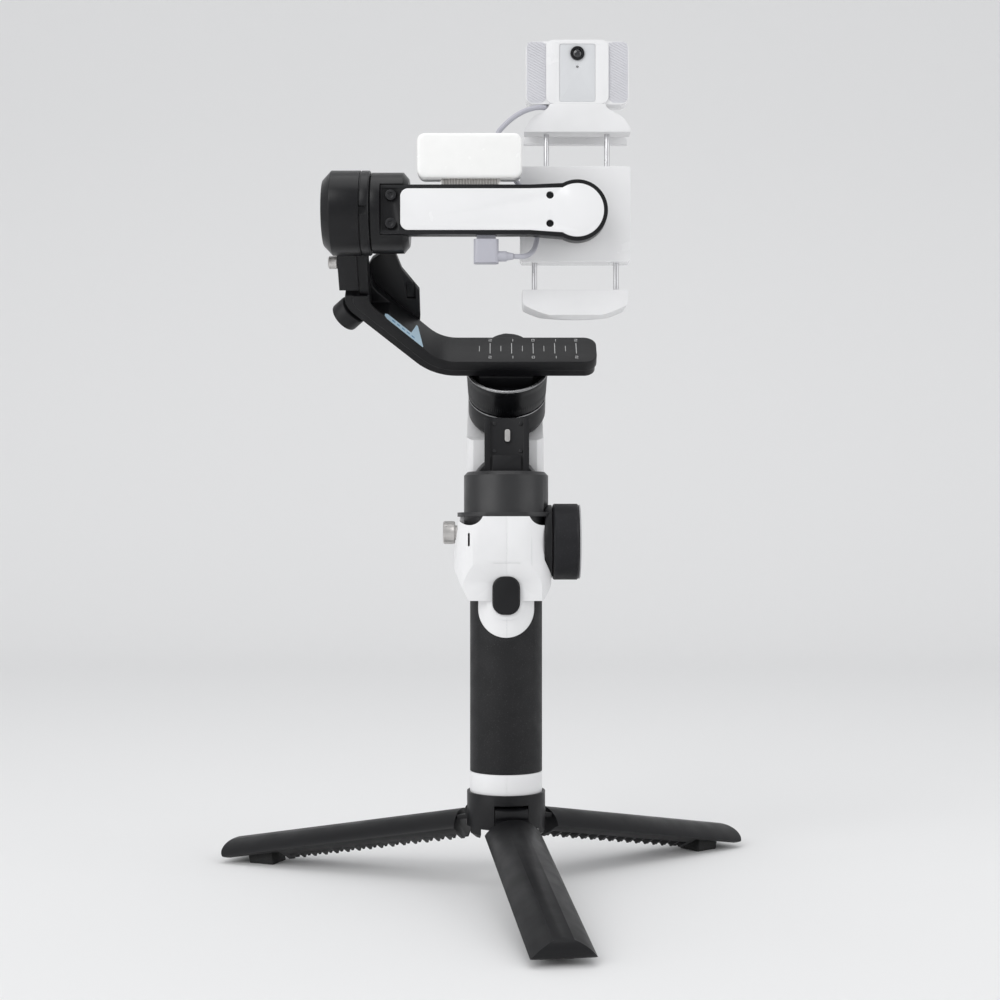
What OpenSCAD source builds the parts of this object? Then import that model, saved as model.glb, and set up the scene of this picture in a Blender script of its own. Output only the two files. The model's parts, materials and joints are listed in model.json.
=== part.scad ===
// Hand-held three-axis phone gimbal on a folding mini tripod.
// +X is to the right, +Y points away from the viewer, +Z is up.
// The origin is on the floor under the handle's axis.

/* [Tripod] */
// Outer radius of the tripod hub
hub_r = 18; // [17.6:0.1:18.6]
// Height of the hub's lower edge above the floor
hub_z = 22.5; // [22:0.5:23.5]
// Distance of each leg hinge from the handle's axis
hinge_r = 14; // [13.8:0.1:14.2]
// Height of each leg hinge above the floor
hinge_z = 33.3; // [33:0.1:33.6]
// Slope of an open leg below the horizontal
leg_slope = 10.3; // [10:0.1:10.6]
// Length of a leg from its hinge
leg_length = 134; // [126:1:138]
// Radius of a leg's arched back
leg_back_r = 15; // [14.5:0.1:15]
// Direction of the front leg, seen from above
front_leg_turn = -81.6; // [-90:0.1:-75]

/* [Handle] */
// Radius of the grip sleeve
grip_r = 16.6; // [16.2:0.1:16.8]
// Lower edge of the grip sleeve
grip_z0 = 52; // [50:1:56]
// Upper tips of the grip sleeve
grip_z1 = 130.3; // [129:0.1:130.5]
// Wall of the grip sleeve
grip_wall = 1.3; // [1:0.1:1.5]
// Wall of the handle shells
shell_wall = 2; // [1.8:0.1:2.2]
// Height at which the control housing ends
housing_top = 168.5; // [168:0.1:169]

/* [Trigger and wheel] */
// Width of the trigger
trigger_w = 12.1; // [11:0.1:12.4]
// Height of the trigger
trigger_h = 17; // [15:0.1:17.4]
// Height of the trigger's middle above the floor
trigger_z = 132.8; // [132:0.1:133.5]
// Radius of the focus wheel
wheel_r = 17.5; // [16:0.1:17.6]
// Width of the focus wheel
wheel_w = 12.7; // [12:0.1:13]
// Height of the focus wheel's axle above the floor
wheel_z = 157; // [156:0.5:158]

/* [Pan axis] */
// Forward lean of the pan axis from the vertical
pan_lean = 42; // [40:0.5:44]
// Outer radius of the pan motor
pan_r = 18.3; // [18.1:0.1:18.5]
// Width of the slide bar
bar_w = 19.8; // [19.6:0.1:20]
// Thickness of the slide bar
bar_t = 8.5; // [8.3:0.1:8.7]
// Right end of the slide bar
bar_right = 42; // [38:1:46]

/* [Tilt axis] */
// Distance of the tilt axis from the bar's middle, along the pan axis
tilt_rise = 77; // [76.5:0.5:77.5]
// Outer radius of the tilt motor's fixed half
tilt_r = 18.1; // [18:0.1:18.4]
// Outer radius of the tilt motor's turning half
tilt_rotor_r = 17.2; // [17:0.1:17.4]

/* [Roll axis] */
// Distance of the roll axis from the handle's axis, to the right
roll_x = 30; // [29.5:0.1:30.5]
// Height of the roll axis above the floor
roll_z = 298; // [297.5:0.1:298.5]
// Outer radius of the roll motor
roll_r = 10.8; // [10.4:0.1:11]
// Height of the roll arm's face
arm_h = 21; // [20:0.1:21.5]

/* [Clamp] */
// Width of the clamp body
clamp_w = 48; // [47.6:0.1:48.4]
// Width of a jaw
jaw_w = 47; // [46:0.1:47.4]
// Upper contact face of the clamp
jaw_top_z = 339.3; // [338:0.1:340]
// Lower contact face of the clamp
jaw_bottom_z = 265; // [264:0.1:266]
// Diameter of the clamp's guide rods
rod_d = 2.3; // [2.2:0.05:2.3]

/* [Hidden] */
$fn = 64;

far = 60;                       // reach of a cutting tool
run_gap = 0.05;                 // radial clearance of a turning or sliding fit
slide_gap = 0.1;                // clearance between flat sliding faces

// tripod
leg_turns = [front_leg_turn, front_leg_turn + 120, front_leg_turn + 240];
leg_sector = 59;                // half angle of a leg's section
leg_start = 8;                  // where a leg's full section begins
leg_core_r = 2.5;               // inner radius of a leg's section
leg_w = 2 * leg_back_r * sin(leg_sector);
knuckle_w = 15;
knuckle_r = 3.6;
pin_r = 1.25;
pin_length = 18.6;
hub_seat_z = 40;
hub_top_z = 42.6;
hub_hollow_z = 27;
foot_at = 109;
foot_l = 13;
foot_w = 13;
stud_r = 3.1;

// handle
shell_r = grip_r - grip_wall - 0.1;
cavity_r = shell_r - shell_wall;
notch_w = 25.6;
notch_z = 113.7;
housing_x0 = -24.2;
housing_x1 = 20.7;
housing_y0 = -20.5;
housing_y1 = 21;
panel_x = -1;
panel_z = 144;
knob_z = 161.2;
wheel_x = 21.3;
base_ring_x = 17.4;
seam_x = 0.3;
axle_r = 2.5;
joystick_z = 148;
button_z = 132;

// neck
collar_r = 19.4;
collar_z0 = 170.3;
collar_z1 = 189;
post_w = 20.4;
post_y0 = -8;
post_y1 = 4;
post_top = 213.5;
post_x = 0.3;

// pan frame: local x stays X, local y is n, local z is s along the pan axis
pan_y = 7;
pan_z = 242;
motor_x = 0.5;                  // the pan motor stands this far right of the handle's axis
rotor_r = 19.3;
rotor_base_r = 18.3;
bar_n0 = -8.4;                  // front and rear faces of the slide bar
bar_n1 = bar_n0 + bar_w;
band_t = 5;                     // height of the bar's upper, prouder band
band_depth = 0.7;
rotor_s0 = -19.8;
rotor_s1 = -5;
rotor_floor_s = -10.5;
stator_s0 = -35.3;
stator_s1 = -20.5;
lock_s = -7.5;
lock_n = 19.8;
tilt_y = pan_y - tilt_rise * sin(pan_lean);
tilt_z = pan_z + tilt_rise * cos(pan_lean);

// the arm's bend
bend_r = 18;                    // inside radius of the bend
face_in = -26;                  // x + s on the sloping section's upper face
face_out = -38.25;              // x + s on its lower face
bracket_x0 = -71.8;
bracket_x1 = -61.1;
bracket_top = 40;
latch_n = -4;
latch_s = 54.8;
arm_plate_x0 = -74;
arm_plate_x1 = -65.4;
knob_s = 29.3;

// tilt motor and arm
cap_x0 = -79;
cap_x1 = -62.7;
ring_x1 = -58.3;
rotor_x0 = -57.7;
rotor_x1 = -41.8;
arm_y0 = -58;
arm_y1 = -51.5;
arm_z = 298.3;
arm_x0 = -53.6;
arm_screw_x = -49.2;
arm_end_r = 13;

// clamp
clamp_y0 = -41;
clamp_y1 = -31;
clamp_x = 29.9;
clamp_z0 = 279;
clamp_z1 = 320.5;
jaw_x = 31;
phone_room = 11.5;              // from the clamp's face to the jaws' rear lips
rod_y = -36;
top_rods = [17.5, 44];
bottom_rods = [12.3, 48];
spring_z0 = 294.2;
spring_z1 = 312;
tracker_x = 30.9;
lens_z = 369.9;

// the short lead's route, from the plug to the tracker
lead_d = 2.2;
lead_route = [
    [3, -54, 279], [6, -53.1, 279.1], [9, -51, 280], [11.4, -48.2, 282.4],
    [12.8, -46.3, 286.2], [13.3, -45.5, 291], [12.8, -45.3, 296.5], [11, -45.2, 302],
    [8.4, -45.1, 307], [5, -45, 312], [1.4, -44.9, 316.5], [-2, -44.8, 321.5],
    [-4.2, -44.6, 326.5], [-4.6, -44.4, 331], [-3.4, -44.2, 334.5], [-1.8, -44, 336.5],
    [0.4, -43.7, 338.8], [2.6, -43.4, 340.7], [5.1, -43, 342.5], [8.4, -42.4, 344.3],
    [11.6, -41.6, 345.5], [14.4, -40.4, 346.2], [16.2, -39, 346.5], [16.9, -37.7, 346.9],
    [17, -37.2, 347.4], [17, -37.2, 347.9]
];

// ---------- shared shapes ----------

module rounded(w, h, r) {
    square([w - 2 * r, h], center = true);
    square([w, h - 2 * r], center = true);
    for (sx = [-1, 1], sy = [-1, 1])
        translate([sx * (w / 2 - r), sy * (h / 2 - r)]) circle(r);
}

// a profile in X and Z, extruded along Y
module from_front(y0, y1)
    translate([0, y1, 0]) rotate([90, 0, 0]) linear_extrude(y1 - y0) children();

// a profile in Y and Z, extruded along X
module from_side(x0, x1)
    translate([x0, 0, 0]) rotate([90, 0, 90]) linear_extrude(x1 - x0) children();

module x_rod(r, x0, x1) translate([x0, 0, 0]) rotate([0, 90, 0]) cylinder(r = r, h = x1 - x0);
module y_rod(r, y0, y1) translate([0, y0, 0]) rotate([-90, 0, 0]) cylinder(r = r, h = y1 - y0);
module z_rod(r, z0, z1) translate([0, 0, z0]) cylinder(r = r, h = z1 - z0);

// a profile of radius and length, turned about X
module turned_x() rotate([0, 90, 0]) rotate_extrude() children();

module box(low, high) translate(low) cube(high - low);

module pan_frame() translate([0, pan_y, pan_z]) rotate([pan_lean, 0, 0]) children();
module motor_frame() pan_frame() translate([motor_x, 0, 0]) children();
module tilt_frame() translate([0, tilt_y, tilt_z]) children();
module roll_frame() translate([roll_x, 0, roll_z]) children();

function unit(v) = v / norm(v);
function along(path, i) =
    unit(path[min(i + 1, len(path) - 1)] - path[max(i - 1, 0)]);
function side_of(d) = unit(cross(d, abs(d[1]) < 0.9 ? [0, 1, 0] : [1, 0, 0]));

// a tube of sides flat faces swept along a path
module swept_tube(path, r, sides) {
    rings = len(path);
    points = [
        for (i = [0:rings - 1])
            let (d = along(path, i), u = side_of(d), v = cross(d, u))
                for (k = [0:sides - 1])
                    path[i] + r * (cos(360 * k / sides) * u + sin(360 * k / sides) * v)
    ];
    walls = [
        for (i = [0:rings - 2], k = [0:sides - 1], half = [0, 1])
            let (a = i * sides + k, b = i * sides + (k + 1) % sides)
                half == 0 ? [a, a + sides, b + sides] : [a, b + sides, b]
    ];
    first = [for (k = [0:sides - 1]) k];
    last = [for (k = [sides - 1:-1:0]) (rings - 1) * sides + k];
    polyhedron(points, concat([first, last], walls), convexity = 6);
}

// an open coil spring standing on z = 0
module coil(r, wire_r, height, turns)
    swept_tube([
        for (i = [0:turns * 10])
            [r * cos(i * 36), r * sin(i * 36), wire_r + (height - 2 * wire_r) * i / (turns * 10)]
    ], wire_r, 5);

// ---------- tripod ----------

module leg_place(turn)
    rotate([0, 0, turn]) translate([hinge_r, 0, hinge_z]) rotate([0, leg_slope, 0]) children();

// a leg's cross-section: across the leg in X, upwards in Y, the hinge at the origin
module leg_section(r_in, r_out, half_angle)
    translate([0, -hinge_r]) difference() {
        intersection() {
            circle(r_out);
            polygon([
                [0, 0],
                [2 * r_out * sin(half_angle), 2 * r_out * cos(half_angle)],
                [-2 * r_out * sin(half_angle), 2 * r_out * cos(half_angle)]
            ]);
        }
        circle(r_in);
    }

// a length of leg section from l0 to l1 along the leg
module leg_bar(l0, l1, r_in, r_out, half_angle)
    translate([l0, 0, 0]) rotate([90, 0, 90])
        linear_extrude(l1 - l0) leg_section(r_in, r_out, half_angle);

module leg(turn) {
    tip_r = 4.2;
    rib_pitch = 6;
    thin_from = 102;
    color([0.09, 0.09, 0.1]) leg_place(turn) difference() {
        union() {
            intersection() {
                leg_bar(leg_start, leg_length, leg_core_r, leg_back_r, leg_sector);
                rotate([90, 0, 0]) translate([0, 0, -leg_w]) linear_extrude(2 * leg_w) {
                    translate([leg_start, -16]) square([leg_length - leg_start - tip_r, 20]);
                    translate([leg_length - tip_r, 1 - tip_r]) circle(tip_r);
                }
            }
            rotate([90, 0, 0])
                translate([0, 0, -knuckle_w / 2]) cylinder(r = knuckle_r, h = knuckle_w);
            box([0, -knuckle_w / 2, 0.4 - knuckle_r], [leg_start + 0.5, knuckle_w / 2, -1.2]);
        }
        rotate([90, 0, 0]) cylinder(r = pin_r + run_gap, h = far, center = true);
        for (l = [leg_start + 2 : rib_pitch : thin_from - 5]) intersection() {
            leg_bar(l, l + rib_pitch - 1.2, 1, leg_back_r - 2, 80);
            box([l - 1, 2.2 - leg_w / 2, -far], [l + rib_pitch, leg_w / 2 - 2.2, 1]);
        }
        box([thin_from, -far / 2, -far], [leg_length + 1, far / 2, -7.5]);
    }
}

// a pad under a leg's end, its sole on the floor
module foot(turn) color("dimgray") intersection() {
    leg_place(turn) box([foot_at, -foot_w / 2, -far], [foot_at + foot_l, foot_w / 2, -7.5]);
    box([-200, -200, 0], [200, 200, 20]);
}

module leg_front() leg(leg_turns[0]);
module leg_right() leg(leg_turns[1]);
module leg_left() leg(leg_turns[2]);
module foot_front() foot(leg_turns[0]);
module foot_right() foot(leg_turns[1]);
module foot_left() foot(leg_turns[2]);

module tripod_hub() color([0.09, 0.09, 0.1]) difference() {
    union() {
        cylinder(r1 = hub_r - 2, r2 = hub_r, h = 2);
        translate([0, 0, 1.9]) cylinder(r = hub_r, h = hub_top_z - hub_z - 1.9);
    }
    translate([0, 0, hub_seat_z - hub_z]) cylinder(r = grip_r + 0.3, h = far);
    translate([0, 0, -1]) linear_extrude(hub_hollow_z - hub_z + 1) {
        circle(leg_back_r + 0.3);
        for (turn = leg_turns) rotate(turn)
            translate([5, -leg_w / 2 - 0.4]) square([far, leg_w + 0.8]);
    }
    cylinder(r = stud_r, h = far);
    translate([0, 0, hub_hollow_z - hub_z - 1]) cylinder(r = 5.5, h = 4.5);
    for (turn = leg_turns) rotate([0, 0, turn]) {
        box([hinge_r - 4.6, -knuckle_w / 2 - 0.3, -1], [far, knuckle_w / 2 + 0.3, 38 - hub_z]);
        translate([hinge_r, 0, hinge_z - hub_z]) rotate([90, 0, 0])
            cylinder(r = pin_r, h = pin_length, center = true);
    }
}

module tripod_screw() color("silver") {
    z_rod(stud_r, hub_hollow_z + 3.4, 48);
    z_rod(5.4, hub_hollow_z + 0.4, hub_hollow_z + 3.5);
}

module leg_pins() color("silver")
    for (turn = leg_turns) rotate([0, 0, turn]) translate([hinge_r, 0, hinge_z])
        rotate([90, 0, 0]) cylinder(r = pin_r, h = pin_length, center = true);

// ---------- handle ----------

module housing_front_outline() polygon([
    [-shell_r, 110], [shell_r, 110], [16.6, 130.3], [17.6, 131.5], [20, 136],
    [20.6, 138.5], [20.6, 149.5], [20, 153], [17.5, housing_top],
    [-21.1, housing_top], [-23.1, 156], [-24.1, 150], [-24.1, 147.5], [-23.4, 144],
    [-21, 138.6], [-17.6, 131.5], [-16.6, 130.3]
]);

module housing_side_outline() polygon([
    [-shell_r, 110], [shell_r, 110], [housing_y1, 121], [housing_y1, housing_top],
    [housing_y0, housing_top], [housing_y0, 149], [-grip_r, 138], [-grip_r, 118]
]);

module housing_plan(inset) translate([(housing_x0 + housing_x1) / 2, 0])
    rounded(housing_x1 - housing_x0 - 2 * inset, housing_y1 - housing_y0 - 2 * inset, 15 - inset);

module notch_outline(w, z_low) {
    translate([0, z_low + w / 2]) circle(d = w);
    translate([-w / 2, z_low + w / 2]) square([w, 150 - z_low - w / 2]);
}

module handle_shell_whole() difference() {
    union() {
        z_rod(grip_r, hub_seat_z, grip_z0 - 0.2);
        z_rod(shell_r, hub_seat_z, grip_z1);
        intersection() {
            z_rod(grip_r - 0.1, notch_z, 140);
            from_front(-far, -5) notch_outline(notch_w - 0.2, notch_z + 0.1);
        }
        intersection() {
            z_rod(grip_r + 0.5, notch_z, 146);
            from_front(-far, -5) translate([0, trigger_z])
                rounded(trigger_w + 5, trigger_h + 5, 7.5);
        }
        intersection() {
            from_front(-far, far) housing_front_outline();
            from_side(-far, far) housing_side_outline();
            translate([0, 0, grip_z1 - 9]) linear_extrude(far) housing_plan(0);
            union() {
                z_rod(far, grip_z1 + 0.1, 200);
                z_rod(shell_r, 110, grip_z1 + 1);
            }
        }
    }
    z_rod(cavity_r, 51, 151.2);
    z_rod(8, 39, 52);
    translate([0, 0, 151]) linear_extrude(housing_top - shell_wall - 151) intersection() {
        housing_plan(shell_wall + 1);
        translate([-19, -far]) square([34.6, 2 * far]);
    }
    from_front(-far, -5) translate([0, trigger_z]) rounded(trigger_w + 0.4, trigger_h + 0.4, 5.2);
    from_front(15, far) translate([panel_x, panel_z]) rounded(20, 34, 3);
    translate([0, 0, wheel_z]) {
        x_rod(5.2, 10, far);
        x_rod(17.2, base_ring_x - 0.1, far);
    }
    translate([0, 0, knob_z]) x_rod(1.65, -far, 0);
    from_front(-far, -10) translate([-16.8, 158]) rounded(0.9, 6, 0.4);
    box([-5.6, -far, 147.2], [6.2, housing_y0 + 0.8, 147.6]);
    difference() {
        from_front(-far, 0) collar_lobes(6.5);
        z_rod(collar_r - 2.5, 160, 180);
    }
    z_rod(7, 160, 170);
}

module handle_shell_left() color("white") intersection() {
    handle_shell_whole();
    box([-far, -far, 0], [seam_x - 0.02, far, 200]);
}

module handle_shell_right() color("white") {
    intersection() {
        handle_shell_whole();
        box([seam_x + 0.02, -far, 0], [far, far, 200]);
    }
    box([0.5, -5, 130], [13, -3, 136]);
}

module tripod_socket() color("silver") difference() {
    z_rod(8, hub_seat_z, 51);
    z_rod(stud_r + 0.1, hub_seat_z - 1, 49);
}

module grip_sleeve() color([0.12, 0.12, 0.13]) difference() {
    z_rod(grip_r, grip_z0, grip_z1);
    z_rod(shell_r, grip_z0 - 1, grip_z1 + 1);
    from_front(-far, -5) notch_outline(notch_w, notch_z);
    from_front(5, far) translate([0, 11]) notch_outline(20, 96);
}

module battery_cell() color("steelblue") translate([0, -2.4, 0]) {
    z_rod(9.2, 55, 120);
    z_rod(3, 119.9, 121);
}

module main_board() color("darkgreen") {
    box([-8.2, 7.6, 55], [8.2, 9, 121]);
    box([-6, 8.9, 60], [-1, 9.9, 68]);
    box([0.5, 8.9, 74], [5.5, 9.9, 84]);
    box([-5, 8.9, 92], [3, 9.9, 98]);
    box([-3, 8.9, 106], [5, 9.9, 111]);
}

module trigger() color([0.1, 0.1, 0.1]) {
    from_front(-18.8, -11) translate([0, trigger_z]) rounded(trigger_w, trigger_h, 5);
    from_front(-11.1, -9.8) translate([0, trigger_z]) rounded(14, 19, 4);
}

module trigger_spring() color("silver")
    translate([3, -9.75, trigger_z]) rotate([-90, 0, 0]) coil(2.2, 0.35, 4.7, 4);

module focus_wheel_core() color("lightgray") translate([0, 0, wheel_z]) {
    x_rod(wheel_r - 3.1, wheel_x, wheel_x + wheel_w - 0.6);
    x_rod(wheel_r - 0.4, wheel_x + wheel_w - 0.7, wheel_x + wheel_w);
    x_rod(axle_r, 12.5, wheel_x + 1);
}

module focus_wheel_grip() color([0.1, 0.1, 0.1]) translate([wheel_x, 0, wheel_z]) difference() {
    rotate([0, 90, 0]) rotate_extrude() difference() {
        translate([wheel_r - 3.1, 0]) square([3.1, wheel_w - 0.7]);
        for (end = [0, wheel_w - 0.7])
            translate([wheel_r, end]) rotate(45) square(1.1, center = true);
    }
}

module wheel_base_ring() color([0.1, 0.1, 0.1]) translate([0, 0, wheel_z]) difference() {
    union() {
        x_rod(17, base_ring_x, wheel_x - 0.3);
        x_rod(5.1, 12, base_ring_x + 0.1);
    }
    x_rod(axle_r + run_gap, 10, far);
}

module side_knob() color("silver") translate([0, 0, knob_z]) {
    x_rod(5.3, -29, -23.5);
    x_rod(3.4, -23.6, -23);
    x_rod(1.6, -23.1, -14);
}

module control_panel() color([0.09, 0.09, 0.1]) difference() {
    from_front(housing_y1, housing_y1 + 2) translate([panel_x, panel_z]) rounded(26, 43, 6);
    translate([panel_x, 0, joystick_z]) y_rod(5, 0, far);
    translate([panel_x - 5.5, 0, button_z]) y_rod(3.7, 0, far);
    translate([panel_x + 5.5, 0, button_z]) y_rod(3.2, 0, far);
    from_front(housing_y1 + 1.4, far) translate([panel_x, 159]) rounded(18, 8, 1.5);
}

module joystick() color([0.15, 0.15, 0.15]) translate([panel_x, 0, joystick_z]) {
    translate([0, 18.6, 0]) x_rod(1.2, -5.5, 5.5);
    rotate([-90, 0, 0]) rotate_extrude() polygon([
        [0, 16.6], [2.6, 16.6], [3.8, 18], [3.8, 19.4], [1.8, 20.6], [1.8, 23.4],
        [3.9, 23.6], [4.2, 24.2], [3.8, 25.6], [2.6, 26.3], [0, 26.5]
    ]);
}

module push_button(x, r) translate([panel_x + x, 0, button_z]) {
    y_rod(r, 20.5, 24);
    y_rod(r + 0.8, 19.6, 20.6);
}

module record_button() color("firebrick") push_button(-5.5, 3.6);
module mode_button() color("gray") push_button(5.5, 3.1);

// ---------- neck ----------

module neck_collar() color([0.1, 0.1, 0.11]) difference() {
    union() {
        z_rod(collar_r, collar_z0, collar_z1 - 1.6);
        translate([0, 0, collar_z1 - 1.7]) cylinder(r1 = collar_r, r2 = collar_r - 1.6, h = 1.7);
        intersection() {
            z_rod(22.4, housing_top, collar_z0 + 0.1);
            translate([0, 0, 160]) linear_extrude(20) housing_plan(0.2);
        }
        intersection() {
            z_rod(collar_r, housing_top - 4, collar_z0 + 0.1);
            from_front(-far, 0) collar_lobes(6.4);
        }
    }
    z_rod(collar_r - 2.4, housing_top - 5, collar_z1 - 2.6);
    z_rod(7, 160, 200);
    translate([0, 0, wheel_z]) x_rod(17.3, base_ring_x - 0.3, far);
}

// where the collar hangs down over the housing's front corners
module collar_lobes(r)
    for (side = [-1, 1]) translate([side * 16.5, housing_top + 2.5]) circle(r);

// outline in Y and Z of the strut from the post to the pan motor's underside
function on_motor(n, s) = [
    pan_y + n * cos(pan_lean) - s * sin(pan_lean),
    pan_z + n * sin(pan_lean) + s * cos(pan_lean)
];

module strut_outline() polygon([
    [post_y1 - 1, collar_z1], [15, collar_z1], [33, 204],
    on_motor(6, stator_s0), on_motor(-12, stator_s0), [post_y1 - 1, 199]
]);

module neck_post() color([0.1, 0.1, 0.11]) difference() {
    translate([post_x, 0, 0]) post_whole();
    motor_frame() z_rod(pan_r + 0.3, stator_s0, 0);
}

module post_whole() {
    intersection() {
        translate([-0.6, 0, 197 - 16.2]) sphere(r = 16.2);
        box([-far, post_y0 + 1, collar_z1], [far, post_y1, 200]);
    }
    difference() {
        box([-post_w / 2, post_y0, collar_z1], [post_w / 2, post_y1, post_top]);
        box([-7.6, -far, 196.5], [7.6, post_y0 + 1.6, far * 10]);
        for (x = [-7.4, 6.4])
            box([x, -far, collar_z1 + 0.6], [x + 1, post_y0 + 1.2, 197]);
    }
    box([-6.4, post_y0 - 1, collar_z1], [6.4, post_y0 + 2, 196]);
    from_side(-8, 8) strut_outline();
}

module neck_screws() color("silver") {
    for (x = [-5.4, 6.6], z = [198.5, 211])
        translate([x, 0, z]) y_rod(0.8, post_y0 + 1, post_y0 + 1.6);
    from_front(post_y0 + 0.4, post_y0 + 1.6) translate([0.6, 205.5]) rounded(2.5, 5.8, 1);
}

module shell_plan(inset) translate([-0.4, 24]) rounded(36 - 2 * inset, 42 - 2 * inset, 7 - inset);

module neck_shell() color("white") difference() {
    intersection() {
        from_side(-20, 20) polygon([
            [post_y1 + 0.1, collar_z1], [17, collar_z1], [24, collar_z1 + 2.5], [41, 206],
            on_motor(17, stator_s0 - 2.5), on_motor(14, stator_s0), on_motor(-12, stator_s0),
            [18, 204.4], [9, 206], [post_y1 + 0.1, 204]
        ]);
        translate([0, 0, collar_z1]) linear_extrude(60) shell_plan(0);
    }
    intersection() {
        from_side(-20, 20) polygon([
            [post_y1 - 1, collar_z1 - 1], [16, collar_z1 - 1], [16, collar_z1 + 1.6],
            [23, collar_z1 + 4.2], [39, 206.5], on_motor(15, stator_s0 - 2),
            on_motor(-11, stator_s0 - 2), [17, 202], [8, 203.8], [post_y1 - 1, 203]
        ]);
        translate([0, 0, collar_z1 - 2]) linear_extrude(60) shell_plan(2);
    }
    translate([post_x, 0, 0]) from_side(-8.1, 8.1) polygon([
        [0, 180], [15.2, 180], [15.2, 198], [26, 200], [36.4, 206.5], [36.4, 224], [0, 224]
    ]);
    translate([post_x, 0, 0]) from_side(-8.1, 8.1) strut_outline();
    motor_frame() z_rod(pan_r + 0.3, stator_s0, 0);
}

// ---------- pan motor and slide bar ----------

module pan_stator() color([0.1, 0.1, 0.11]) motor_frame() translate([0, 0, stator_s0]) {
    height = stator_s1 - stator_s0;
    fillet = 5.5;
    difference() {
        rotate_extrude() {
            square([pan_r - fillet, height]);
            translate([0, fillet]) square([pan_r, height - fillet]);
            translate([pan_r - fillet, fillet]) circle(fillet);
        }
        difference() {
            translate([0, 0, 2.4]) cylinder(r = pan_r - 2, h = height);
            cylinder(r = 5.5, h = height - 1);
        }
        translate([0, 0, 2.3]) cylinder(r = 4.5, h = height);
        translate([0, 0, -1]) cylinder(r = 2, h = 5);
        difference() {
            translate([0, 0, 2.4]) cylinder(r = pan_r - 3, h = 1);
            cylinder(r = pan_r - 4.4, h = height);
        }
    }
}

module pan_winding() color("chocolate") motor_frame() translate([0, 0, stator_s0 + 4.4]) {
    teeth = 12;
    difference() {
        union() {
            cylinder(r = 7.6, h = 6);
            for (k = [0:teeth - 1]) rotate([0, 0, k * 360 / teeth]) {
                box([7, -0.8, 0], [13.4, 0.8, 6]);
                box([8.6, -1.5, -0.6], [12.2, 1.5, 6.6]);
            }
        }
        translate([0, 0, -2]) cylinder(r = 5.5, h = 12);
    }
}

module pan_bearings() color("silver") motor_frame()
    for (s = [stator_s0 + 2.4, stator_s1 - 4]) translate([0, 0, s]) difference() {
        cylinder(r = 4.5, h = 2.8);
        translate([0, 0, -1]) cylinder(r = axle_r + run_gap, h = 5);
    }

module pan_rotor() color([0.1, 0.1, 0.11]) motor_frame() {
    difference() {
        rotate_extrude() polygon([
            [0, rotor_s0], [rotor_base_r, rotor_s0], [rotor_r, rotor_s1 - 1.4],
            [rotor_r, rotor_s1], [0, rotor_s1]
        ]);
        z_rod(rotor_r - 1.8, rotor_floor_s, 0);
        z_rod(pan_r - 3.4, rotor_s0 - 1, rotor_floor_s - 2);
        translate([-motor_x, 0, lock_s]) y_rod(1.8, 10, far);
    }
    difference() {
        z_rod(pan_r - 2.3, rotor_s0 - 2.2, rotor_s0 + 0.1);
        z_rod(pan_r - 3.4, rotor_s0 - 3, rotor_s0 + 1);
    }
    z_rod(axle_r, stator_s0 + 2.6, rotor_floor_s - 1);
}

module pan_magnets() color("gray") motor_frame() difference() {
    z_rod(pan_r - 2.3, stator_s0 + 3.8, rotor_s0 - 2.2);
    z_rod(pan_r - 3.4, stator_s0, 0);
}

// dovetail section in n and s, smaller by gap on every side
module dovetail(gap) polygon([
    [-4.2 + gap, -bar_t / 2 - 0.3], [4.2 - gap, -bar_t / 2 - 0.3],
    [5.4 - gap, -bar_t / 2 + 2.4 - gap], [-5.4 + gap, -bar_t / 2 + 2.4 - gap]
]);

module bar_clamp() color([0.12, 0.12, 0.13]) pan_frame() difference() {
    union() {
        box([-12.4, -8.2, rotor_floor_s], [12.4, 12.5, -bar_t / 2 - slide_gap]);
        from_side(-11, 11) dovetail(slide_gap);
        intersection() {
            translate([1, 9.3, 0]) z_rod(9.9, -bar_t / 2 - 0.8, 1);
            box([-far, bar_n1 + 0.15, -far], [far, far, far]);
        }
    }
    translate([0, 0, lock_s]) y_rod(1.5 + run_gap, 11, far);
}

module bar_lock_knob() color([0.12, 0.12, 0.13]) pan_frame() translate([0, 0, lock_s]) {
    y_rod(5, lock_n, lock_n + 4.9);
    y_rod(1.5, 11.5, lock_n + 0.6);
}

function arc(centre, r, a0, a1, steps) = [
    for (i = [0:steps]) let (a = a0 + (a1 - a0) * i / steps) centre + r * [cos(a), sin(a)]
];

// the arm's side outline in x and s, from the bar's end round the bend and up
bend_centre = [-22.8, bar_t / 2 + bend_r];
module arm_outline(t) polygon(concat(
    [[-10, bar_t / 2 - t]],
    arc(bend_centre, bend_r + t, -90, -135, 8),
    arc([bracket_x0 + 10, 37.7], 10 - (bar_t - t), 225, 180, 5),
    [[bracket_x0 + bar_t - t, bracket_top], [bracket_x1, bracket_top]],
    arc([bracket_x1 + 9, 38.8], 9, 180, 225, 4),
    arc(bend_centre, bend_r, -135, -90, 8),
    [[-10, bar_t / 2]]
));

// the straight bar seen along the pan axis
module bar_plan(inset) {
    corner = 6;
    translate([-12, bar_n0 + inset]) square([12 + bar_right - corner, bar_w - inset]);
    translate([0, bar_n0 + corner]) square([bar_right - inset, bar_w - 2 * corner]);
    for (n = [bar_n0 + corner, bar_n1 - corner])
        translate([bar_right - corner, n]) circle(corner - inset);
}

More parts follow.
